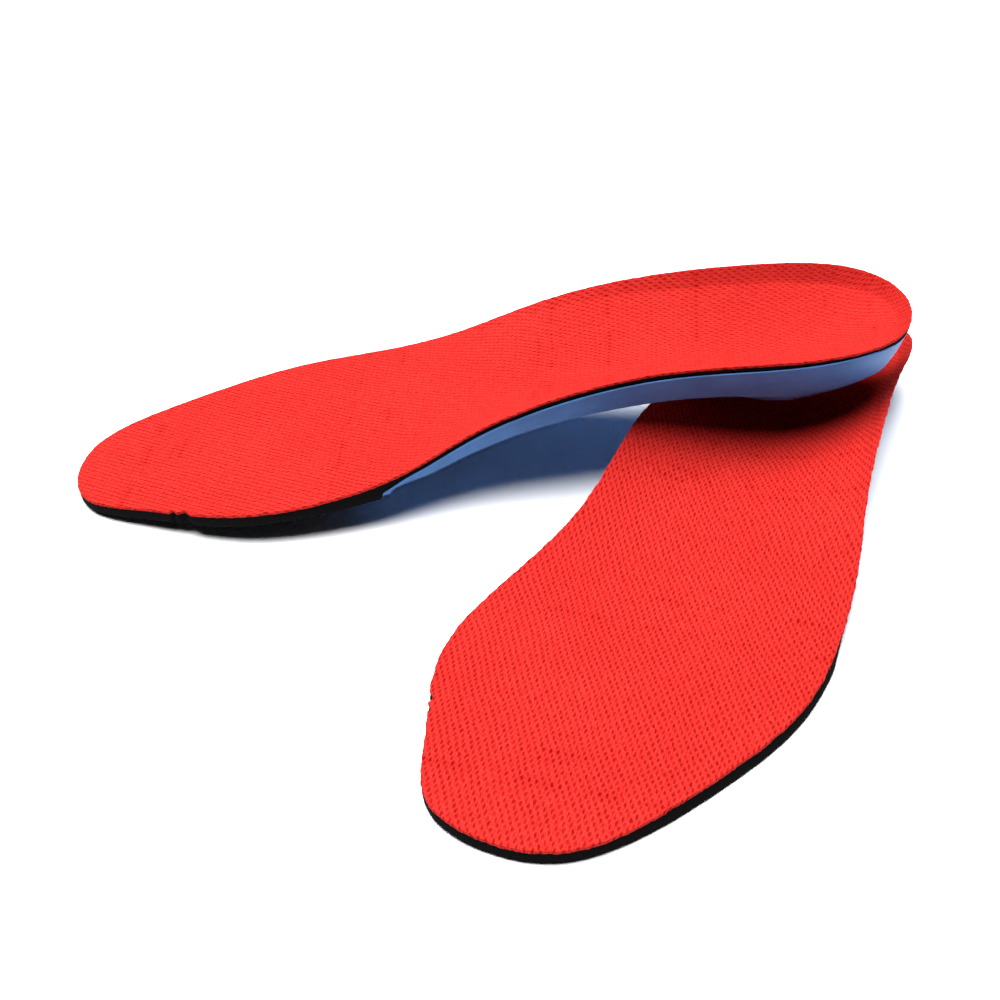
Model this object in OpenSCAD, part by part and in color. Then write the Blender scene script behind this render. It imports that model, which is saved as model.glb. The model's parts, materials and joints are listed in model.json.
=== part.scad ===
// A pair of cushioned arch-support insoles: knitted cover, foam, moulded base shell and heel pad.
// Each insole is drawn flat as a right one: +X from heel to toe, +Y towards the inner (arch) side.
// The left insole is its mirror image and stands at the origin, toe towards -Y.
// The right insole leans on the left one's heel cup, with its toe on the floor.

/* [Insole] */
// Length of one insole, heel to toe
insole_length = 265; // [245:1:290]
// Height of the rim behind the heel
heel_rim = 16; // [14:0.5:19]
// Height of the rim at the top of the inner arch
arch_rim = 24; // [20:0.5:26]
// Height of the rim on the outer side of the heel
outer_rim = 24; // [20:0.5:26]
// Height of the cover over the middle of the heel
heel_seat = 7; // [6.5:0.5:8]
// How much higher the cover is over the middle of the arch than over the heel
arch_rise = 4; // [3:0.5:5]
// Thickness of the forefoot at its edge, cover and foam together
forefoot_edge = 4.4; // [4:0.1:5.5]

/* [Layers] */
// Thickness of the knitted cover
cover_thickness = 0.9; // [0.6:0.1:1.2]
// Thickness of the foam under the heel and the arch
foam_thickness = 3; // [2.6:0.1:3.2]
// Thickness of the foam where it thins out at the raised rim
foam_at_rim = 1.5; // [1:0.1:2]
// Thickness of the base shell at its front edge
shell_front_thickness = 0.8; // [0.6:0.1:1]
// Depth of the heel pad let into the underside of the shell
pad_depth = 1.6; // [1:0.1:2]
// Radius of the heel pad's round ends
pad_radius = 13; // [10:1:14]

/* [Right insole, leaning] */
// Turn about the vertical, from +X
lean_turn = -138; // [-140:1:-136]
// Slope down towards the toe
lean_pitch = 5.7; // [5.65:0.05:5.7]
// Tilt towards its outer side
lean_roll = 1; // [0.8:0.1:1.2]
// Place of its heel end, along X
lean_x = 24; // [23.5:0.5:24.5]
// Place of its heel end, along Y
lean_y = 2.5; // [2:0.5:3]
// Height of its heel end over the floor
lean_lift = 26.4; // [26.4:0.1:27]

/* [Hidden] */

// Rim of the insole as the control points of a closed cubic B-spline, [along, across, height]:
// the heel end, nine points up the inner side, the toe end and nine back down the outer side.
heel_end = [-5, -1, heel_rim];
inner_side = [[8, 30, heel_rim], [41, 37, heel_rim + 2], [79, 32, arch_rim - 2], [110, 35, arch_rim],
              [145, 30, 14.5], [169, 37, forefoot_edge], [214, 42, forefoot_edge],
              [240, 24.5, forefoot_edge], [262, 15.5, forefoot_edge]];
toe_end = [264.5, -5.5, forefoot_edge];
outer_side = [[257, -26, forefoot_edge], [228, -38, forefoot_edge], [192, -51, forefoot_edge - 0.4],
              [160, -49, forefoot_edge - 1], [135, -45, 7.5], [110, -37, outer_rim - 5.5],
              [80, -31.5, outer_rim - 0.5], [45, -25.5, outer_rim], [8, -23.5, outer_rim - 4.5]];
rim_control = concat([heel_end], inner_side, [toe_end], outer_side);

// Spokes run from the rim to a line along the middle. Spoke 0 is the heel end, and a spoke and
// its partner on the other side meet on the middle line, so the two make one straight line.
controls = len(rim_control);
spokes = 3 * controls;
heel_fan = 5;      // spokes up to this one fan out from the middle of the heel
toe_fan = 24;      // spokes from this one on fan out from the middle of the toe
shell_spoke = 19;  // the shell ends along this spoke and its partner
flex_spoke = 20;   // the toe flexes along this spoke and its partner

// Distance of each ring from the rim. The last ring is the middle line.
top_rings = [0.3, 1.2, 3, 6, 10, 17, 26, 100];
join_rings = [0, 1.2, 3, 6, 10, 17, 26, 100];
foam_rings = [0.2, 1.2, 3, 6, 10, 17, 26, 100];
base_rings = [2, 3.2, 4.6, 6.8, 10, 17, 26, 100];
rings = len(top_rings);

// Height of the shell's side wall against the distance along, inner and outer side
inner_wall = [[0, 10], [60, 10], [100, 8.4], [142, 6.4], [168, 3.4], [180, 1]];
outer_wall = [[0, 10], [40, 13], [90, 12], [110, 9], [135, 4], [160, 1]];

function ramp(from, to, x) = let(t = min(max((x - from) / (to - from), 0), 1)) t * t * (3 - 2 * t);
function mix(a, b, t) = a + (b - a) * t;
function control(i) = rim_control[(i + controls) % controls];
function spline(p, t) = (pow(1 - t, 3) * p[0] + (3 * pow(t, 3) - 6 * t * t + 4) * p[1]
    + (-3 * pow(t, 3) + 3 * t * t + 3 * t + 1) * p[2] + pow(t, 3) * p[3]) / 6;
function rim_point(i) = let(c = floor(i / 3), t = i / 3 - c)
    spline([control(c - 1), control(c), control(c + 1), control(c + 2)], t);

rim = [for (i = [0 : spokes - 1]) rim_point(i)];
rim_along = [for (p = rim) p[0]];
size = insole_length / (max(rim_along) - min(rim_along));
function middle_spoke(i) = min(max(min(i, spokes - i), heel_fan), toe_fan);
function middle(i) = let(m = middle_spoke(i)) (rim[m] + rim[spokes - m]) / 2;
middles = [for (i = [0 : spokes - 1]) middle(i)];
heel_middle_x = middles[0][0] * size;
heel_middle_y = middles[0][1] * size;

function flat_distance(a, b) = norm([a[0] - b[0], a[1] - b[1]]);
function is_inner(i) = i < spokes / 2;
function middle_height(x) = heel_seat + arch_rise * ramp(40, 95, x)
    - (heel_seat + arch_rise - forefoot_edge + 0.2) * ramp(110, 175, x);

// Fall of the cover from its rim to the middle, 0 to 1: a narrow lip, a steep wall and a bowl
// round the heel and along the outer side, and one long slope at the inner arch
function cup_fall(inset, t) = 0.06 * ramp(0, 2.6, inset) + 0.36 * ramp(2.4, 6.5, inset)
    + 0.58 * (1 - pow(1 - t, 1.6));
function arch_fall(t) = 1 - pow(1 - t, 1.9);
function fall(i, inset, t) = mix(cup_fall(inset, t), arch_fall(t),
    is_inner(i) ? ramp(55, 95, rim[i][0]) : 0);

function top_height(i, inset, t) =
    mix(rim[i][2], middle_height(middles[i][0]), fall(i, inset, t));

// Underside of the shell: flat under the heel, arched up from the floor under the inner side
function wall(i) = lookup(rim[i][0], is_inner(i) ? inner_wall : outer_wall);
function shell_edge(i) = max(rim[i][2] - cover_thickness - rim_foam(i) - wall(i), 0);
function arch_middle(x) = (arch_rise + 1) * ramp(45, 95, x) * (1 - ramp(105, 165, x));
function corner_width(i) = is_inner(i) ? mix(10, 30, ramp(45, 90, rim[i][0]))
    : mix(9, 15, ramp(45, 90, rim[i][0]));
function base_height(i, inset) =
    let(s = min(max(1 - (inset - 2) / (corner_width(i) - 2), 0), 1))
    mix(arch_middle(middles[i][0]), shell_edge(i), pow(s, 1.8));

function rim_foam(i) = mix(foam_at_rim, foam_thickness, ramp(145, 178, rim[i][0]));
function foam_depth(i, inset) = mix(rim_foam(i), foam_thickness, ramp(0, 8, inset));
function on_shell(i) = min(i, spokes - i) <= shell_spoke;
function foam_height(i, inset, t) = !on_shell(i) ? 0
    : max(top_height(i, inset, t) - cover_thickness - foam_depth(i, inset),
          base_height(i, inset) + shell_front_thickness);

// One point of a surface: 0 is the cover's top, 1 its underside, 2 the foam's underside and
// 3 the shell's underside
function place_on(surface, i, inset) =
    let(span = flat_distance(rim[i], middles[i]), t = min(inset / span, 1), d = t * span,
        flat = mix(rim[i], middles[i], t),
        z = surface == 0 ? top_height(i, d, t)
          : surface == 1 ? top_height(i, d, t) - cover_thickness
          : surface == 2 ? foam_height(i, d, t) : base_height(i, d))
    [flat[0] * size, flat[1] * size, z];

all_rings = [top_rings, join_rings, foam_rings, base_rings];

// Rings 0 to rings-2 of every spoke, and then the middle line's points, which spokes share
function surface_points(surface) = concat(
    [for (i = [0 : spokes - 1]) for (k = [0 : rings - 2]) place_on(surface, i, all_rings[surface][k])],
    [for (i = [heel_fan : toe_fan]) place_on(surface, i, all_rings[surface][rings - 1])]);
surface_size = spokes * (rings - 1) + toe_fan - heel_fan + 1;
function index(i, k) = let(j = (i + spokes) % spokes)
    k < rings - 1 ? j * (rings - 1) + k : spokes * (rings - 1) + middle_spoke(j) - heel_fan;

function whole_triangles(list) = [for (f = list) if (f[0] != f[1] && f[1] != f[2] && f[2] != f[0]) f];
function offset_by(list, n) = [for (f = list) [for (v = f) v + n]];
function reversed(list) = [for (f = list) [f[2], f[1], f[0]]];

// The skin between spokes from and to, facing up
function skin(from, to) = whole_triangles([for (i = [from : to - 1]) for (k = [0 : rings - 2])
    each [[index(i, k), index(i + 1, k + 1), index(i, k + 1)],
          [index(i, k), index(i + 1, k), index(i + 1, k + 1)]]]);
// The side wall that joins the two surfaces' outer rings
function side(from, to) = [for (i = [from : to - 1])
    each [[index(i, 0), index(i, 0) + surface_size, index(i + 1, 0)],
          [index(i + 1, 0), index(i, 0) + surface_size, index(i + 1, 0) + surface_size]]];
// The flat end face on spoke i
function end_face(i) = [for (k = [0 : rings - 2])
    each [[index(i, k), index(i, k + 1), index(i, k) + surface_size],
          [index(i, k + 1), index(i, k + 1) + surface_size, index(i, k) + surface_size]]];

// The solid between two surfaces, from one spoke round to another
module layer(upper, lower, from, to) {
    polyhedron(
        points = concat(surface_points(upper), surface_points(lower)),
        faces = concat(skin(from, to), offset_by(reversed(skin(from, to)), surface_size),
            side(from, to), end_face(from), reversed(end_face(to))));
}

module cover_rear() {
    color("red") layer(0, 1, -flex_spoke, flex_spoke);
}

module cover_front() {
    color("red") layer(0, 1, flex_spoke, spokes - flex_spoke);
}

module foam_rear() {
    color("#1c1c1e") layer(1, 2, -flex_spoke, flex_spoke);
}

module foam_front() {
    color("#1c1c1e") layer(1, 2, flex_spoke, spokes - flex_spoke);
}

// Outline of the heel pad: a slot with round ends, along the middle of the heel
module pad_outline() {
    pad_half = 8;
    translate([heel_middle_x, heel_middle_y]) {
        for (x = [-pad_half, pad_half]) translate([x, 0]) circle(pad_radius);
        translate([-pad_half, -pad_radius]) square([2 * pad_half, 2 * pad_radius]);
    }
}

module heel_pad() {
    color("#30343c") linear_extrude(pad_depth) pad_outline();
}

module shell() {
    color("#3f74b8") difference() {
        layer(2, 3, -shell_spoke, shell_spoke);
        translate([0, 0, -1]) linear_extrude(pad_depth + 1) pad_outline();
    }
}

// The left insole: mirrored, toe towards -Y, with the middle of its heel at the origin
module place_left() {
    translate([heel_middle_y, heel_middle_x, 0]) rotate([0, 0, -90]) mirror([0, 1, 0]) children();
}

// The right insole, leaning on the left one
module place_right() {
    translate([lean_x, lean_y, lean_lift]) rotate([lean_roll, lean_pitch, lean_turn]) children();
}

module left_cover_rear() { place_left() cover_rear(); }
module left_cover_front() { place_left() cover_front(); }
module left_foam_rear() { place_left() foam_rear(); }
module left_foam_front() { place_left() foam_front(); }
module left_shell() { place_left() shell(); }
module left_heel_pad() { place_left() heel_pad(); }
module right_cover_rear() { place_right() cover_rear(); }
module right_cover_front() { place_right() cover_front(); }
module right_foam_rear() { place_right() foam_rear(); }
module right_foam_front() { place_right() foam_front(); }
module right_shell() { place_right() shell(); }
module right_heel_pad() { place_right() heel_pad(); }

left_cover_rear();
left_cover_front();
left_foam_rear();
left_foam_front();
left_shell();
left_heel_pad();
right_cover_rear();
right_cover_front();
right_foam_rear();
right_foam_front();
right_shell();
right_heel_pad();
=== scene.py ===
import json
import math

import bmesh
import bpy
import numpy as np
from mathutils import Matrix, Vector


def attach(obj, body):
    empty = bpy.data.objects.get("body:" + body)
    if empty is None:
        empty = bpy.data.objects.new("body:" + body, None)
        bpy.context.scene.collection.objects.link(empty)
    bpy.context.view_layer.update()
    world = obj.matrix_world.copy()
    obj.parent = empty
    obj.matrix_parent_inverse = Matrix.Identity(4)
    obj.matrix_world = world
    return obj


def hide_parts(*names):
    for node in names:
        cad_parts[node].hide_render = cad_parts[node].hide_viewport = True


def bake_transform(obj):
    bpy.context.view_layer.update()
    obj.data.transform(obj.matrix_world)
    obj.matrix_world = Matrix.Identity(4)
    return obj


# A pair of cushioned insoles. Each has a red knit cover on black foam, over a blue moulded
# heel and arch shell with a pad let into its heel. Lengths are in millimetres in an insole's
# own frame, x from heel to toe and y towards the inner side, until mesh_object() sets them in
# the pair's frame in metres.

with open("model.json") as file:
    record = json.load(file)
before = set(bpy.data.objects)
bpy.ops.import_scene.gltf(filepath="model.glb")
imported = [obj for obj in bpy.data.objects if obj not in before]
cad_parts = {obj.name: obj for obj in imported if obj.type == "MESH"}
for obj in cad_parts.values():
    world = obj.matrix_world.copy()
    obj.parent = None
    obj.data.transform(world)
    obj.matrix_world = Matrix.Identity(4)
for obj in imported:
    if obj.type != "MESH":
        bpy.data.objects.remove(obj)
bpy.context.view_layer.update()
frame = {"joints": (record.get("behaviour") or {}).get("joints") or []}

# ---- Shape shared with the CAD part ------------------------------------------------------------

INSOLE_LENGTH = 265
HEEL_END = (-5, -1, 16)
INNER_SIDE = [(8, 30, 16), (41, 37, 18), (79, 32, 22), (110, 35, 24), (145, 30, 14.5),
              (169, 37, 4.4), (214, 42, 4.4), (240, 24.5, 4.4), (262, 15.5, 4.4)]
TOE_END = (264.5, -5.5, 4.4)
OUTER_SIDE = [(257, -26, 4.4), (228, -38, 4.4), (192, -51, 4.0), (160, -49, 3.4), (135, -45, 7.5),
              (110, -37, 18.5), (80, -31.5, 23.5), (45, -25.5, 24), (8, -23.5, 19.5)]
RIM_CONTROL = np.array([HEEL_END, *INNER_SIDE, TOE_END, *OUTER_SIDE], float)
TURN = len(RIM_CONTROL)      # the rim parameter u runs once round, from the heel end, to this
HEEL_FAN, TOE_FAN = 5 / 3, 8   # spokes below and above these fan out from one middle point
SHELL_FRONT = 19 / 3         # u of the shell's front edge, at the middle of the insole
COVER = 0.9                  # thickness of the cover
FOAM = 3.0                   # thickness of the foam away from the rim
THIN_FOAM = 0.4              # and where it thins out round the heel's rim
SHELL_LEAST = 0.8            # least thickness of the shell
SEAM = 0.01                  # gap drawn between glued layers
HEEL_SEAT = 7                # height of the cover over the middle of the heel
ARCH_RISE = 4                # how much higher it is over the middle of the arch
TOE_DROP = 6.8               # how much lower it is in the forefoot than there
ARCH_HOLLOW = 5              # height of the hollow under the middle of the arch
BAND = 3.9                   # width of the steep band inside the rim
# Height of the shell's side wall against the distance along, inner and outer side
INNER_WALL = [(0, 9), (60, 9.6), (100, 8.4), (142, 6.0), (160, 4.2), (169, 2.4),
              (171, 2.1), (172.5, 3.6), (176, 2.2)]
OUTER_WALL = [(0, 9), (40, 13), (90, 12), (110, 9), (135, 4), (160, 1)]
PAD_HALF = 8                 # half the straight middle of the heel pad
PAD_RADIUS = 13              # of its round ends
PAD_DEPTH = 1.6
PAD_GROOVES = 3
LEAN_TURN, LEAN_PITCH, LEAN_ROLL = -138, 5.7, 1   # how the right insole leans on the left one
LEAN_PLACE = (24, 2.5, 26.4)


def ramp(a, b, x):
    """A smooth step from 0 at a to 1 at b."""
    t = np.clip((np.asarray(x, float) - a) / (b - a), 0, 1)
    return t * t * (3 - 2 * t)


def mix(a, b, t):
    return a + (b - a) * t


def lookup(x, table):
    """Straight lines through the table's (x, value) points."""
    return np.interp(x, [p[0] for p in table], [p[1] for p in table])


def rim_at(u):
    """Points of the rim's closed cubic B-spline."""
    u = np.asarray(u, float)
    cell = np.floor(u).astype(int)
    t = (u - cell)[..., None]
    p = [RIM_CONTROL[(cell + k) % TURN] for k in (-1, 0, 1, 2)]
    return ((1 - t) ** 3 * p[0] + (3 * t**3 - 6 * t * t + 4) * p[1]
            + (-3 * t**3 + 3 * t * t + 3 * t + 1) * p[2] + t**3 * p[3]) / 6


def middle_at(u):
    """Points of the middle line, halfway between a spoke's rim point and its partner's."""
    m = np.clip(np.minimum(u % TURN, TURN - u % TURN), HEEL_FAN, TOE_FAN)
    return (rim_at(m) + rim_at(TURN - m)) / 2


coarse_rim = rim_at(np.arange(3 * TURN) / 3)   # the CAD part's rim has 3 points for each control
SIZE = INSOLE_LENGTH / np.ptp(coarse_rim[:, 0])
HEEL_MIDDLE = middle_at(np.array(0.0))[:2] * SIZE


class Spokes:
    """Lines from the rim to the middle, one for each value of u. An inset d, a single one or one
    for each spoke, is the distance from the rim along them."""

    def __init__(self, u):
        self.u = np.asarray(u, float)
        self.rim, self.middle = rim_at(self.u), middle_at(self.u)
        self.span = np.linalg.norm((self.rim - self.middle)[..., :2], axis=-1)
        self.inner = (self.u % TURN) < TURN / 2
        self.rim_x = self.rim[..., 0]
        self.mid_x = self.middle[..., 0]

    def pick(self, inner, outer):
        """One value for the inner side's spokes and one for the outer side's."""
        return np.where(self.inner, inner, outer)

    def flat(self, d):
        """x and y at inset d from the rim."""
        t = np.clip(d / self.span, None, 1)[..., None]
        return mix(self.rim, self.middle, t)[..., :2]

    def top(self, d):
        """Height of the cover: a steep band with a crease at its foot and then a bowl round the
        heel and the outer side, and one long slope at the inner arch."""
        t = np.clip(d / self.span, 0, 1)
        step = 1 - (1 - np.clip(d / BAND, 0, 1)) ** 1.15
        share = mix(0.34, 0.16, ramp(0, 45, self.rim_x))
        cup = share * step + (1 - share) * (1 - (1 - t) ** 1.7)
        arch = 1 - (1 - t) ** 1.9
        fall = mix(cup, arch, self.pick(ramp(55, 95, self.rim_x), 0))
        arch_rise = ARCH_RISE * ramp(40, 95, self.mid_x)
        middle = HEEL_SEAT + arch_rise - TOE_DROP * ramp(110, 175, self.mid_x)
        return mix(self.rim[..., 2], middle, fall)

    def rim_foam(self):
        """Thickness of the foam at the rim."""
        arch_side = mix(THIN_FOAM, 1.3, ramp(5, 60, self.rim_x))
        inner = mix(arch_side, FOAM, ramp(165, 177, self.rim_x))
        return self.pick(inner, mix(THIN_FOAM, FOAM, ramp(148, 178, self.rim_x)))

    def foam_depth(self, d):
        """Thickness of the foam on the shell."""
        return mix(self.rim_foam(), FOAM, ramp(0, 8, d))

    def tuck(self):
        """How far foam and shell draw back under the cover's edge, from 1 round the heel end and
        along the outer side to 0 at the inner arch and the forefoot."""
        return self.pick(1 - ramp(-2, 30, self.rim_x), 1 - ramp(130, 155, self.rim_x))

    def shell_edge(self):
        """Height of the lower edge of the shell's side wall."""
        wall = self.pick(lookup(self.rim_x, INNER_WALL), lookup(self.rim_x, OUTER_WALL))
        return np.maximum(self.rim[..., 2] - COVER - self.rim_foam() - wall, 0)

    def base(self, d):
        """Height of the shell's underside: it curves down from the side wall over the width of
        its corner, flat on the floor under the heel and hollow under the arch."""
        corner = mix(10, self.pick(30, 15), ramp(45, 90, self.rim_x))
        s = np.clip(1 - (d - 2) / (corner - 2), 0, 1)
        arch = ARCH_HOLLOW * ramp(45, 95, self.mid_x) * (1 - ramp(105, 165, self.mid_x))
        bend = mix(1.1, 1.8, self.pick(ramp(55, 95, self.rim_x), ramp(5, 60, self.rim_x)))
        return mix(arch, self.shell_edge(), s ** bend)

    def shell_front(self, d):
        """u of the shell's front edge, which turns back towards the sides."""
        at_rim = self.pick(6.04, 6.1)
        return mix(at_rim, SHELL_FRONT, ramp(0, 14, d))

    def behind_front(self, d):
        """Distance behind the shell's front edge; negative in front of it."""
        fold = np.minimum(self.u % TURN, TURN - self.u % TURN)
        step_length = 38       # of one step of u, near the shell's front
        return (self.shell_front(d) - fold) * step_length

    def foam_bottom(self, d):
        """Height of the foam's underside: on the shell, and on the floor in front of it."""
        on_shell = np.maximum(self.top(d) - COVER - self.foam_depth(d), self.base(d) + SHELL_LEAST)
        return on_shell * ramp(-1.5, 1.0, self.behind_front(d))


def rings(near, steps, spokes):
    """Insets from the rim, shape (rings, spokes): the near ones in millimetres, then steps
    equal ones to the middle."""
    near = np.array(near, float)[:, None] * np.ones_like(spokes.span)
    rest = np.linspace(0, 1, steps + 1)[1:, None]
    return np.vstack([near, near[-1] + (spokes.span - near[-1]) * rest])


# ---- From an insole's frame to the pair's frame ------------------------------------------------

def turn(axis, degrees):
    c, s = math.cos(math.radians(degrees)), math.sin(math.radians(degrees))
    return np.array({"x": [[1, 0, 0], [0, c, -s], [0, s, c]],
                     "y": [[c, 0, s], [0, 1, 0], [-s, 0, c]],
                     "z": [[c, -s, 0], [s, c, 0], [0, 0, 1]]}[axis], float)


PLACES = {
    "left": (turn("z", -90) @ np.diag([1, -1, 1]), np.array([HEEL_MIDDLE[1], HEEL_MIDDLE[0], 0])),
    "right": (turn("z", LEAN_TURN) @ turn("y", LEAN_PITCH) @ turn("x", LEAN_ROLL), np.array(LEAN_PLACE)),
}


def placed(side, points):
    """Points in the pair's frame, in metres. Only x and y carry the insole's size factor."""
    rotation, shift = PLACES[side]
    return ((points * [SIZE, SIZE, 1]) @ rotation.T + shift) / 1000


def mesh_object(name, side, rows, closed, caps=False, laid=None):
    """A mesh from rows of points, each row running along the spokes. Its UV map holds the
    points' flat places in units of 100 mm, so that a pattern would stay with the piece if it were bent.
    laid gives those places where they aren't the points' own x and y."""
    rows = np.asarray(rows, float)
    count, length = rows.shape[:2]
    index = np.arange(count * length).reshape(count, length)
    if closed:
        index = np.hstack([index, index[:, :1]])
    quads = np.stack([index[:-1, :-1], index[:-1, 1:], index[1:, 1:], index[1:, :-1]], -1).reshape(-1, 4)
    if caps:
        half = count // 2
        for column, flip in ((0, False), (-1, True)):
            upper, lower = index[:half, column], index[count - half:, column][::-1]
            cap = np.stack([upper[:-1], upper[1:], lower[1:], lower[:-1]], -1)
            quads = np.vstack([quads, cap[:, ::-1] if flip else cap])
    points = rows.reshape(-1, 3)
    mesh = bpy.data.meshes.new(name)
    mesh.from_pydata(placed(side, points).tolist(), [], quads.tolist())
    flat = mesh.uv_layers.new(name="flat")
    corner = np.zeros(len(mesh.loops), np.int32)
    mesh.loops.foreach_get("vertex_index", corner)
    places = points[:, :2] if laid is None else laid.reshape(-1, 2)
    flat.data.foreach_set("uv", (places[corner] / 100).astype(np.float32).ravel())
    work = bmesh.new()
    work.from_mesh(mesh)
    bmesh.ops.remove_doubles(work, verts=work.verts, dist=2e-6)
    bmesh.ops.dissolve_degenerate(work, edges=work.edges, dist=1e-7)
    bmesh.ops.recalc_face_normals(work, faces=work.faces)
    work.to_mesh(mesh)
    work.free()
    mesh.shade_smooth()
    made = bpy.data.objects.new(name, mesh)
    bpy.context.scene.collection.objects.link(made)
    return made


def laid_out(rows):
    """Where rows that start at the middle lie when each spoke is rolled out flat from there."""
    rows = np.asarray(rows, float)
    steps = np.linalg.norm(np.diff(rows, axis=0), axis=2)
    length = np.vstack([np.zeros(rows.shape[1]), np.cumsum(steps, axis=0)])
    out = rows[:, :, :2] - rows[0, :, :2]
    reach = np.linalg.norm(out, axis=2)
    return rows[0, :, :2] + out * (length / np.maximum(reach, 1e-9))[..., None]


def level(spokes, d, z):
    """One row of points at inset d and height z."""
    return np.concatenate([spokes.flat(d), np.broadcast_to(z, spokes.span.shape)[..., None]], -1)


def noise_round(count, step, seed):
    """Smooth closed noise along a row of count points, about 1 high, with a bump every step points."""
    knots = np.random.default_rng(seed).uniform(-1, 1, max(count // step, 4))
    at = np.arange(count) * len(knots) / count
    cell = at.astype(int)
    t = ramp(0, 1, at - cell)
    return mix(knots[cell % len(knots)], knots[(cell + 1) % len(knots)], t)


# ---- Pieces ------------------------------------------------------------------------------------

ROUND = 1440         # spokes round a whole insole
COVER_SEED, FOAM_SEED = 11, 15
EDGE_REACH = 0.8     # how far in the cover and the foam follow their ragged cut edge
NEAR_END = 9.6       # rings nearer the rim than this keep their distance from it
NEAR_TOP = [0.0, 0.1, 0.25, 0.5, 0.9, 1.4, 1.9, 2.4, 2.7, 3.0, 3.4, 3.8, 4.2, 4.7, 5.3, 6.0, 7.0, 8.2,
            NEAR_END]
NEAR_UNDER = [0.3, 0.9, 1.6, 2.2, 2.6, 3.0, 3.4, 3.8, 4.2, 4.7, 5.3, 6.0, 7.0, 8.2, NEAR_END]
NICKS = [(7.66, 0.07, 1.5), (7.79, 0.045, 1.3)]   # u, half width and depth of nicks in the cut edge


def nick_depth(u):
    """How far a nick cuts in from the rim: notches with straight sides."""
    return sum(deep * np.clip(1 - np.abs(u % TURN - at) / wide, 0, 1) for at, wide, deep in NICKS)


def build_cover(side, seed):
    """The knit cover: one sheet with a rounded upper edge and a slightly ragged cut."""
    spokes = Spokes(np.arange(ROUND) * TURN / ROUND)
    ragged = (0.13 * noise_round(ROUND, 2, seed) + 0.11 * noise_round(ROUND, 7, seed + 1)
              + nick_depth(spokes.u))
    top_rings = rings(NEAR_TOP, 30, spokes)
    under_rings = rings(NEAR_UNDER, 12, spokes)
    pull = lambda d: ragged * np.exp(-d / EDGE_REACH)
    rounded = lambda d: 0.22 * np.exp(-d / 0.16)
    rows = [level(spokes, d + pull(d), spokes.top(d) - rounded(d)) for d in top_rings[::-1]]
    edge_top, edge_low = spokes.top(0) - 0.3, spokes.top(0) - COVER
    for s in (0.33, 0.66, 1):
        rows.append(level(spokes, ragged + 0.03 * s, mix(edge_top, edge_low, s)))
    rows += [level(spokes, d + pull(d), spokes.top(d) - COVER) for d in under_rings]
    flat = laid_out(rows[:len(top_rings) + 3])
    flat = np.concatenate([flat, np.asarray(rows)[len(top_rings) + 3:, :, :2]])
    return mesh_object(f"{side}_cover", side, rows, closed=True, laid=flat)


def build_foam(side, seed):
    """The foam: its cut edge bulges, and at the ball of the foot it flares out to the floor."""
    spokes = Spokes(np.arange(ROUND) * TURN / ROUND)
    nick = nick_depth(spokes.u)
    wobble = 0.05 * noise_round(ROUND, 5, seed) + 0.05 * noise_round(ROUND, 40, seed + 1) + nick
    tucked = 0.5 * spokes.tuck()
    top_rings = rings([0.25] + NEAR_UNDER[1:], 12, spokes)
    top_rings[0] += tucked
    rows = []
    for d in top_rings[::-1]:
        pulled = d + nick * np.exp(-d / EDGE_REACH)
        rows.append(level(spokes, pulled, spokes.top(d) - COVER - SEAM))
    high = spokes.top(0.3 + tucked) - COVER - 2 * SEAM
    low = spokes.foam_bottom(0.2 + 2 * tucked)
    thick = high - low
    flare = spokes.pick(0.2, 1.2) * ramp(148, 170, spokes.rim_x) * (1 - ramp(225, 255, spokes.rim_x))
    for s in np.linspace(0.04, 1, 11):
        bulge = 0.28 * (1 - (2 * s - 1) ** 2) * np.minimum(thick / 3, 1)
        corner = 0.5 * np.clip((s - 0.72) / 0.28, 0, 1) ** 2
        inset = 0.32 - bulge + corner + wobble + tucked - flare * s
        rows.append(level(spokes, inset, mix(high, low, s)))
    for d in rings([1.3, 2.2, 3.4, 5.0, 7.0, NEAR_END], 24, spokes):
        rows.append(level(spokes, np.maximum(d, 1.0 + wobble), spokes.foam_bottom(d)))
    return mesh_object(f"{side}_foam", side, rows, closed=True)


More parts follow.
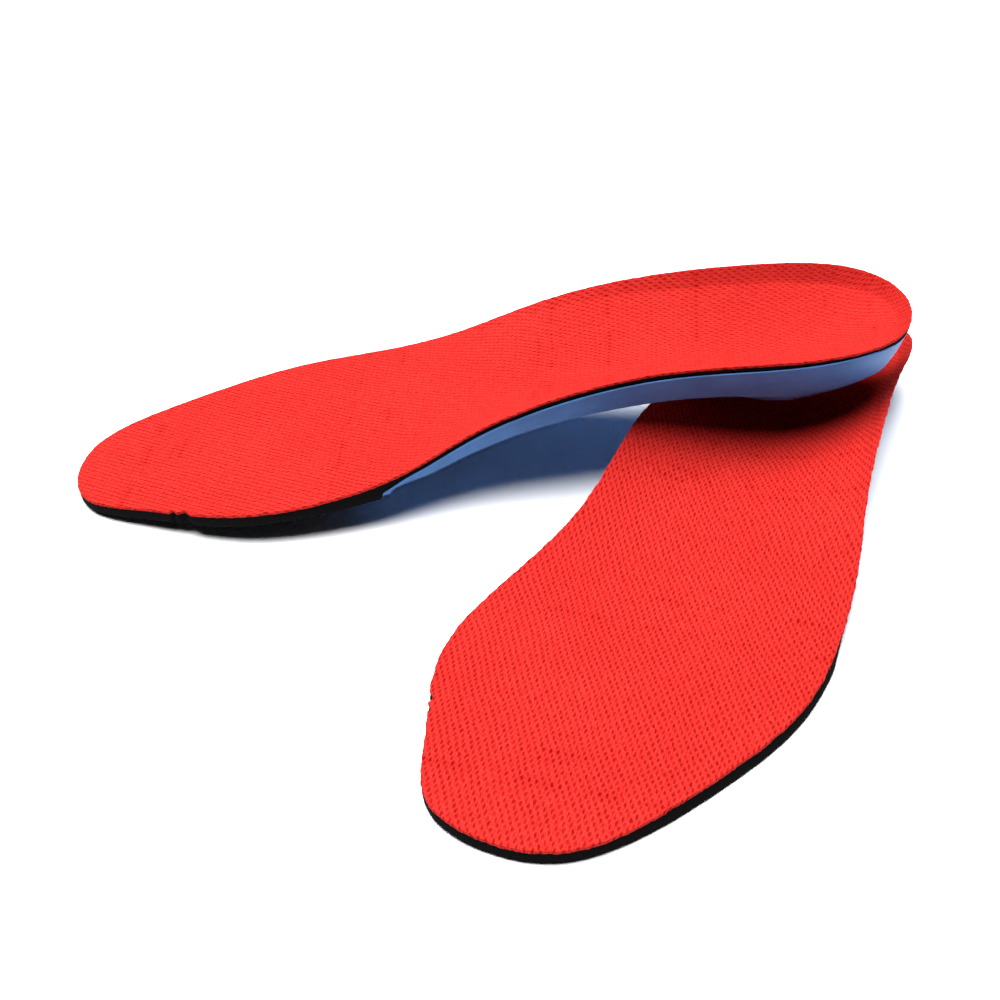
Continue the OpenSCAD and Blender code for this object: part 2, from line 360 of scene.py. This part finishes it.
def build_shell(side):
    """The moulded shell: a ledge under the foam's edge, a leaning side wall and the underside."""
    count = 1000
    along = np.linspace(-1, 1, count)

    def row(d_of, z_of):
        """One row whose ends follow the shell's curved front edge."""
        u = along * SHELL_FRONT
        for _ in range(3):
            spokes = Spokes(u)
            d = d_of(spokes)
            u = along * spokes.shell_front(d)
        spokes = Spokes(u)
        d = d_of(spokes)
        return level(spokes, d, z_of(spokes, d))

    def at(d):
        return lambda sp: np.full(count, d)

    def across(share):
        """Inset at a share of the way from the near rings to the middle."""
        return lambda sp: NEAR_END + (sp.span - NEAR_END) * share

    def top(sp, d):
        under_foam = sp.top(d) - COVER - sp.foam_depth(d)
        return np.maximum(under_foam, sp.base(d) + SHELL_LEAST) - SEAM

    def base(sp, d):
        return sp.base(d)

    def tucked(sp):
        """How far the ledge draws back: it stands out past the foam at the inner arch only."""
        return 1.1 * sp.pick(sp.tuck(), 1.0)

    def foot(sp):
        """Inset of the side wall's lower edge: the wall leans in most round the heel."""
        return sp.pick(mix(5.0, 2.0, ramp(40, 120, sp.rim_x)), 5.0)

    def ledge(d):
        return lambda sp: d + tucked(sp)

    def rim_height(sp):
        """Height of the ledge's upper side."""
        return sp.top(0.2 + tucked(sp)) - COVER - sp.rim_foam()

    def wall_row(s):
        """Side wall from the ledge, s 0, to its lower edge, s 1."""
        def d_of(sp):
            return mix(0.05 + tucked(sp), foot(sp), s ** 1.1) - 0.25 * math.sin(math.pi * s)

        def z_of(sp, d):
            return mix(np.maximum(rim_height(sp) - 0.6, 0.1), sp.base(foot(sp)) + 0.3, s)
        return row(d_of, z_of)

    def base_row(f):
        return row(lambda sp: mix(foot(sp), NEAR_END, f), base)

    rows = [row(across(s), top) for s in np.linspace(1, 0, 14)[:-1]]
    rows += [row(at(d), top) for d in (NEAR_END, 7, 5, 3.4, 2.2)]
    rows += [row(ledge(d), top) for d in (0.9, 0.7, 0.45)]
    # the ledge's rounded nose
    for d, drop in ((0.1, 0.0), (-0.25, 0.02), (-0.38, 0.1), (-0.4, 0.22), (-0.32, 0.4), (-0.1, 0.5)):
        rows.append(row(ledge(d), lambda sp, d, drop=drop: np.maximum(rim_height(sp) - drop, 0.1)))
    rows += [wall_row(s) for s in np.linspace(0, 1, 12)]
    rows.append(row(lambda sp: foot(sp) + 0.05, lambda sp, d: sp.base(foot(sp)) + 0.08))
    rows += [base_row(f) for f in (0.05, 0.12, 0.21, 0.34, 0.5, 0.74, 1)]
    rows += [row(across(s), base) for s in np.linspace(0, 1, 14)[1:]]
    return mesh_object(f"{side}_shell", side, rows, closed=False, caps=True)


def build_pad(side):
    """The heel pad, let into the shell: round ends, a rounded lower edge and grooves in its sole."""
    count = 160
    angle = np.linspace(0, 2 * math.pi, count, endpoint=False)
    out = np.stack([np.cos(angle), np.sin(angle)], -1)
    end = np.stack([np.sign(out[:, 0]) * PAD_HALF, 0 * angle], -1)   # centre of each point's round end
    r = PAD_RADIUS

    def ring(radius, z):
        flat = HEEL_MIDDLE / SIZE + (out * radius + end * min(radius / r, 1)) / SIZE
        return np.concatenate([flat, np.full((count, 1), z)], -1)

    lower = [(r, 0.5), (r - 0.15, 0.2), (r - 0.5, 0.02)]
    grooves = []
    for k in range(PAD_GROOVES):
        edge = r - 2.4 - 3 * k
        grooves += [(edge, 0.0), (edge - 0.35, 0.3), (edge - 0.8, 0.3), (edge - 1.15, 0.0)]
    rows = [ring(s * r, PAD_DEPTH) for s in (0.001, 0.5, 1)]
    rows += [ring(radius, z) for radius, z in lower + grooves]
    rows += [ring(radius, 0.0) for radius in (1.5, 0.001)]
    return mesh_object(f"{side}_heel_pad_moulded", side, rows, closed=True)


# ---- Materials ---------------------------------------------------------------------------------

class Nodes:
    """A short way to write a node tree."""

    def __init__(self, name):
        self.material = bpy.data.materials.new(name)
        self.material.use_nodes = True
        self.tree = self.material.node_tree
        self.shader = self.tree.nodes["Principled BSDF"]

    def put(self, value, socket):
        if isinstance(value, bpy.types.NodeSocket):
            self.tree.links.new(value, socket)
        else:
            socket.default_value = value

    def node(self, kind, inputs=(), out=0, **settings):
        made = self.tree.nodes.new(kind)
        for key, value in settings.items():
            setattr(made, key, value)
        for key, value in dict(inputs).items():
            self.put(value, made.inputs[key])
        return made.outputs[out]

    def math(self, operation, a, b=0.0, c=0.0):
        return self.node("ShaderNodeMath", {0: a, 1: b, 2: c}, operation=operation)

    def smooth(self, value, low, high, to_low=0.0, to_high=1.0):
        return self.node("ShaderNodeMapRange", {0: value, 1: low, 2: high, 3: to_low, 4: to_high},
                         interpolation_type="SMOOTHSTEP")

    def noise(self, vector, scale, detail=2.0, roughness=0.5, out=0):
        return self.node("ShaderNodeTexNoise", {"Vector": vector, "Scale": scale, "Detail": detail,
                         "Roughness": roughness}, out=out)

    def vector(self, operation, a, b):
        return self.node("ShaderNodeVectorMath", {0: a, 1: b}, operation=operation)

    def drift(self, place, scale, reach):
        """A smooth random shift, up to half of reach each way."""
        centred = self.vector("SUBTRACT", self.noise(place, scale, 1.0, out=1), (0.5, 0.5, 0.5))
        return self.node("ShaderNodeVectorMath", {0: centred, 3: reach}, operation="SCALE")

    def sum_of(self, x, y, a, b):
        """a times x plus b times y."""
        return self.math("MULTIPLY_ADD", x, a, self.math("MULTIPLY", y, b))

    def colour_mix(self, factor, a, b):
        made = self.tree.nodes.new("ShaderNodeMix")
        made.data_type = "RGBA"
        self.put(factor, made.inputs[0])
        self.put(a, made.inputs[6])
        self.put(b, made.inputs[7])
        return made.outputs[2]

    def bump(self, height, distance, strength):
        """Bumps in the shader's surface, distance in metres."""
        made = self.node("ShaderNodeBump", {"Height": height, "Distance": distance, "Strength": strength})
        self.put(made, self.shader.inputs["Normal"])

    def surface(self, colour, roughness, specular=0.5):
        self.put(colour, self.shader.inputs["Base Color"])
        self.put(roughness, self.shader.inputs["Roughness"])
        self.put(specular, self.shader.inputs["Specular IOR Level"])

    def flat_mm(self):
        """The piece's flat x and y, in millimetres."""
        uv = self.node("ShaderNodeUVMap", uv_map="flat")
        return self.vector("MULTIPLY", uv, (100, 100, 0))

    def object_mm(self):
        """The place on the object, in millimetres."""
        where = self.node("ShaderNodeTexCoord", out=3)
        return self.vector("MULTIPLY", where, (1000, 1000, 1000))


def rgb(r, g, b):
    return (r, g, b, 1.0)


# The knit's colours: its own red, a lighter red for the yarn lines that is partly painted highlight, a pale
# red that is painted highlight on the ribs and fibres, and a dark red that is painted shade in the dimples.
RED_LOW, RED_YARN_AND_HIGHLIGHT = rgb(0.30, 0.0035, 0.003), rgb(0.405, 0.0155, 0.0115)
RED_RIB_HIGHLIGHT, RED_DIMPLE_SHADE = rgb(0.455, 0.038, 0.031), rgb(0.16, 0.0005, 0.0008)
# A dimple sits wherever x and y, times each of these pairs, add up to a whole number
LATTICE = ((0.244, -0.635), (0.400, 0.469))
DIMPLE_LENGTH, DIMPLE_WIDTH = 0.95, 0.38      # half sizes


def knit_material():
    """Warp-knit mesh fabric: slanting rows of small long dimples between red ribs. The dimples are darkened
    with painted shade, the ridge round each dimple and flecks on the fibres get painted highlights, and the
    lighter yarn lines are partly painted highlight.
    """
    n = Nodes("red_knit")
    place = n.flat_mm()
    # the rows wave a little
    moved = n.vector("ADD", place, n.drift(place, 0.035, 3.0))
    moved = n.vector("ADD", moved, n.drift(place, 0.45, 0.8))
    split = n.tree.nodes.new("ShaderNodeSeparateXYZ")
    n.put(moved, split.inputs[0])
    x, y = split.outputs[0], split.outputs[1]
    # the nearest dimple's number, and the place from its middle, along and across it
    (a, b), (c, d) = LATTICE
    det = a * d - b * c
    cells = [n.sum_of(x, y, a, b), n.sum_of(x, y, c, d)]
    whole = [n.math("ROUND", cell) for cell in cells]
    part = [n.math("SUBTRACT", cell, number) for cell, number in zip(cells, whole)]
    dx = n.sum_of(part[0], part[1], d / det, -b / det)
    dy = n.sum_of(part[0], part[1], -c / det, a / det)
    lean = math.radians(-14)
    long = n.sum_of(dx, dy, math.cos(lean), math.sin(lean))
    wide = n.sum_of(dx, dy, -math.sin(lean), math.cos(lean))
    which = n.node("ShaderNodeCombineXYZ", {0: whole[0], 1: whole[1], 2: 0.0})
    chance = n.node("ShaderNodeTexWhiteNoise", {"Vector": which}, noise_dimensions="3D")
    ragged = n.noise(place, 2.2, 2.0)
    long_square = n.math("POWER", n.math("MULTIPLY", long, 1 / DIMPLE_LENGTH), 2.0)
    wide_square = n.math("POWER", n.math("MULTIPLY", wide, 1 / DIMPLE_WIDTH), 2.0)
    far = n.math("SQRT", n.math("ADD", long_square, wide_square))
    far = n.math("ADD", far, n.math("MULTIPLY_ADD", ragged, 1.3, -0.65))
    dimple = n.smooth(far, 0.1, 1.2, 1.0, 0.0)
    # a ring on the ridge round each dimple, which gets a painted highlight
    rim = n.math("MULTIPLY", n.smooth(far, 0.9, 1.25), n.smooth(far, 1.3, 1.9, 1.0, 0.0))
    # how deep each dimple is: it shapes the bump and sets the painted shade in the dimple
    dimple_depth_and_shade = n.math("MULTIPLY", dimple, n.math("MULTIPLY_ADD", chance, 0.5, 0.5))
    # stretches of a few rows are drawn tighter and look darker: their dimples get deeper painted shade and
    # their colour leans to the knit's darker red
    row_number = n.math("ADD", whole[0], whole[1])
    row = n.node("ShaderNodeTexWhiteNoise", {"W": row_number}, noise_dimensions="1D")
    tight = n.math("MULTIPLY", n.smooth(row, 0.86, 0.9), n.smooth(n.noise(place, 0.09, 1.0), 0.5, 0.56))
    dimple_depth_and_shade = n.math("MULTIPLY", dimple_depth_and_shade, n.math("MULTIPLY_ADD", tight, 0.45, 1.0))
    # the knit is stretched flatter over the heel, where the dimples are shallower and their painted shade
    # fainter
    dimple_depth_and_shade = n.math("MULTIPLY", dimple_depth_and_shade, n.smooth(x, 30, 120, 0.6, 1.0))
    # fine yarn lines run slanting between the dimples; they are lighter partly by their own tone and partly
    # by painted highlight
    along_yarn = {"Vector": moved, "Rotation": (0, 0, math.radians(-30)), "Scale": (1.9, 0.30, 1)}
    stretched = n.node("ShaderNodeMapping", along_yarn, vector_type="TEXTURE")
    yarn = n.noise(stretched, 1.0, 3.0, 0.6)
    fuzz_and_glint = n.noise(place, 9.0, 2.0, 0.7)
    patches = n.noise(place, 0.03, 3.0)
    # the yarn lines in a lighter red, partly painted highlight
    bright = n.colour_mix(n.smooth(yarn, 0.36, 0.64), RED_LOW, RED_YARN_AND_HIGHLIGHT)
    # flecks of painted highlight on the fuzzy fibres
    bright = n.colour_mix(n.smooth(fuzz_and_glint, 0.45, 0.75, 0.0, 0.3), bright, RED_RIB_HIGHLIGHT)
    bright = n.colour_mix(n.smooth(patches, 0.35, 0.65, 0.0, 0.25), bright, RED_LOW)
    # painted highlight on the ridge round each dimple
    bright = n.colour_mix(n.math("MULTIPLY", rim, 0.4), bright, RED_RIB_HIGHLIGHT)
    bright = n.colour_mix(n.math("MULTIPLY", tight, 0.3), bright, RED_LOW)
    # painted shade: each dimple is darkened by how deep it is
    red = n.colour_mix(n.math("MULTIPLY", dimple_depth_and_shade, 0.85), bright, RED_DIMPLE_SHADE)
    n.surface(red, 0.82, specular=0.04)
    n.put(0.04, n.shader.inputs["Sheen Weight"])
    n.put(0.4, n.shader.inputs["Sheen Roughness"])
    n.put(rgb(1.0, 0.25, 0.2), n.shader.inputs["Sheen Tint"])
    threads = n.sum_of(yarn, fuzz_and_glint, 0.5, 0.12)
    n.bump(n.math("MULTIPLY_ADD", dimple_depth_and_shade, -1.0, threads), 0.00022, 0.8)
    return n.material


def foam_material():
    """Black closed-cell foam: cut cells show as fine pits on its edge, with painted shade in the pits."""
    n = Nodes("black_foam")
    place = n.object_mm()
    cells = n.node("ShaderNodeTexVoronoi", {"Vector": place, "Scale": 3.2, "Randomness": 1.0}, feature="F1")
    fine = n.noise(place, 7.0, 3.0, 0.6)
    broad = n.noise(place, 0.25, 2.0)
    pits = n.smooth(cells, 0.05, 0.5)
    # painted shade: the pits are coloured darker than the foam round them
    grey = n.colour_mix(pits, rgb(0.0016, 0.0015, 0.0016), rgb(0.0036, 0.0033, 0.0035))
    grey = n.colour_mix(n.smooth(fine, 0.5, 0.8, 0.0, 0.5), grey, rgb(0.008, 0.0075, 0.0078))
    grey = n.colour_mix(n.smooth(broad, 0.4, 0.7, 0.0, 0.3), grey, rgb(0.004, 0.0036, 0.004))
    n.surface(grey, n.smooth(fine, 0.3, 0.7, 0.75, 0.95), specular=0.02)
    n.bump(n.sum_of(pits, fine, 0.7, 0.4), 0.00012, 0.7)
    return n.material


def shell_material():
    """Blue moulded EVA: satin skin with a fine grain and faint cloudy marks."""
    n = Nodes("blue_shell")
    place = n.object_mm()
    grain = n.noise(place, 2.6, 3.0, 0.6)
    cloud = n.noise(place, 0.06, 3.0)
    flow = n.noise(n.vector("MULTIPLY", place, (0.2, 0.2, 1.2)), 0.5, 2.0)
    blue = n.colour_mix(n.smooth(cloud, 0.35, 0.65), rgb(0.036, 0.105, 0.27), rgb(0.045, 0.125, 0.31))
    blue = n.colour_mix(n.smooth(flow, 0.5, 0.75, 0.0, 0.3), blue, rgb(0.052, 0.14, 0.33))
    blue = n.colour_mix(n.smooth(grain, 0.55, 0.8, 0.0, 0.25), blue, rgb(0.03, 0.085, 0.23))
    n.surface(blue, n.smooth(grain, 0.3, 0.7, 0.48, 0.62), specular=0.2)
    n.bump(grain, 0.00008, 0.5)
    return n.material


def pad_material():
    """Dark soft heel pad: smooth moulded rubber foam with a faint bloom."""
    n = Nodes("dark_pad")
    place = n.object_mm()
    fine = n.noise(place, 3.5, 3.0, 0.6)
    bloom = n.noise(place, 0.15, 3.0)
    grey = n.colour_mix(n.smooth(bloom, 0.35, 0.7), rgb(0.020, 0.023, 0.030), rgb(0.032, 0.036, 0.045))
    grey = n.colour_mix(n.smooth(fine, 0.55, 0.8, 0.0, 0.4), grey, rgb(0.045, 0.048, 0.058))
    n.surface(grey, n.smooth(fine, 0.3, 0.7, 0.5, 0.7))
    n.bump(fine, 0.00006, 0.6)
    return n.material


materials = {
    "cover": knit_material(),
    "foam": foam_material(),
    "shell": shell_material(),
    "pad": pad_material(),
}


def finish_piece(piece, slot):
    piece.data.materials.append(materials[slot])
    return piece


joints = {j["name"]: j for j in frame["joints"]}

for number, side in enumerate(("left", "right")):
    rear, front = f"{side}_rear", f"{side}_forefoot"
    cover = finish_piece(build_cover(side, COVER_SEED + 10 * number), "cover")
    foam = finish_piece(build_foam(side, FOAM_SEED + 10 * number), "foam")
    shell = finish_piece(build_shell(side), "shell")
    pad = finish_piece(build_pad(side), "pad")
    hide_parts(f"{side}_cover_rear", f"{side}_cover_front")
    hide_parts(f"{side}_foam_rear", f"{side}_foam_front")
    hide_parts(f"{side}_shell")
    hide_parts(f"{side}_heel_pad")
    hinge = joints[f"{side}_toe_flex"]
    pivot, axis = Vector(hinge["pos_m"]), Vector(hinge["axis"]).normalized()
    toe_tip = Vector(placed(side, middle_at(np.array([TOE_FAN])))[0].tolist())
    forward = toe_tip - pivot
    forward = (forward - forward.dot(axis) * axis).normalized()
    for piece in (cover, foam):
        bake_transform(piece)
    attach(shell, rear)
    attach(pad, rear)

# ---- Floor, light and camera -------------------------------------------------------------------

HALF_FLOOR = 6.0
FLOOR_HEIGHT = -0.0001      # a hair under the soles
floor_signs = ((-1, -1), (1, -1), (1, 1), (-1, 1))
floor_corners = [(x * HALF_FLOOR, y * HALF_FLOOR, FLOOR_HEIGHT) for x, y in floor_signs]
floor_mesh = bpy.data.meshes.new("floor")
floor_mesh.from_pydata(floor_corners, [], [(0, 1, 2, 3)])
floor = bpy.data.objects.new("floor", floor_mesh)
bpy.context.scene.collection.objects.link(floor)
paper = Nodes("white_paper")
paper.surface(rgb(0.93, 0.94, 0.96), 0.9, specular=0.1)
floor.data.materials.append(paper.material)

# The backdrop is white to the eye, and gives almost no light of its own
world = bpy.data.worlds.new("studio")
world.use_nodes = True
sky = world.node_tree
dim = sky.nodes["Background"]
dim.inputs[0].default_value = (0.9, 0.95, 1.0, 1)
dim.inputs[1].default_value = 0.02
white = sky.nodes.new("ShaderNodeBackground")
path, choose = sky.nodes.new("ShaderNodeLightPath"), sky.nodes.new("ShaderNodeMixShader")
sky.links.new(path.outputs["Is Camera Ray"], choose.inputs[0])
sky.links.new(dim.outputs[0], choose.inputs[1])
sky.links.new(white.outputs[0], choose.inputs[2])
sky.links.new(choose.outputs[0], sky.nodes["World Output"].inputs[0])
bpy.context.scene.world = world


def aimed(name, data, place, target):
    """A light or camera at a place, looking at a target."""
    made = bpy.data.objects.new(name, data)
    made.location = place
    made.rotation_euler = (Vector(target) - Vector(place)).to_track_quat("-Z", "Y").to_euler()
    bpy.context.scene.collection.objects.link(made)
    return made


softbox = bpy.data.lights.new("softbox_top", "AREA")
softbox.shape, softbox.size, softbox.energy = "DISK", 2.0, 104
aimed("softbox_top", softbox, (-0.35, -0.10, 1.5), (-0.06, -0.1, 0.0))

lens = bpy.data.cameras.new("camera")
lens.sensor_width, lens.lens = 36, 48.68
lens.clip_start, lens.clip_end = 0.01, 50
bpy.context.scene.camera = aimed("camera", lens, (0.11583, -0.40422, 0.22924), (-0.0588, -0.11193, 0.0))
bpy.context.scene.view_settings.view_transform = "Standard"
bpy.context.scene.view_settings.look = "None"
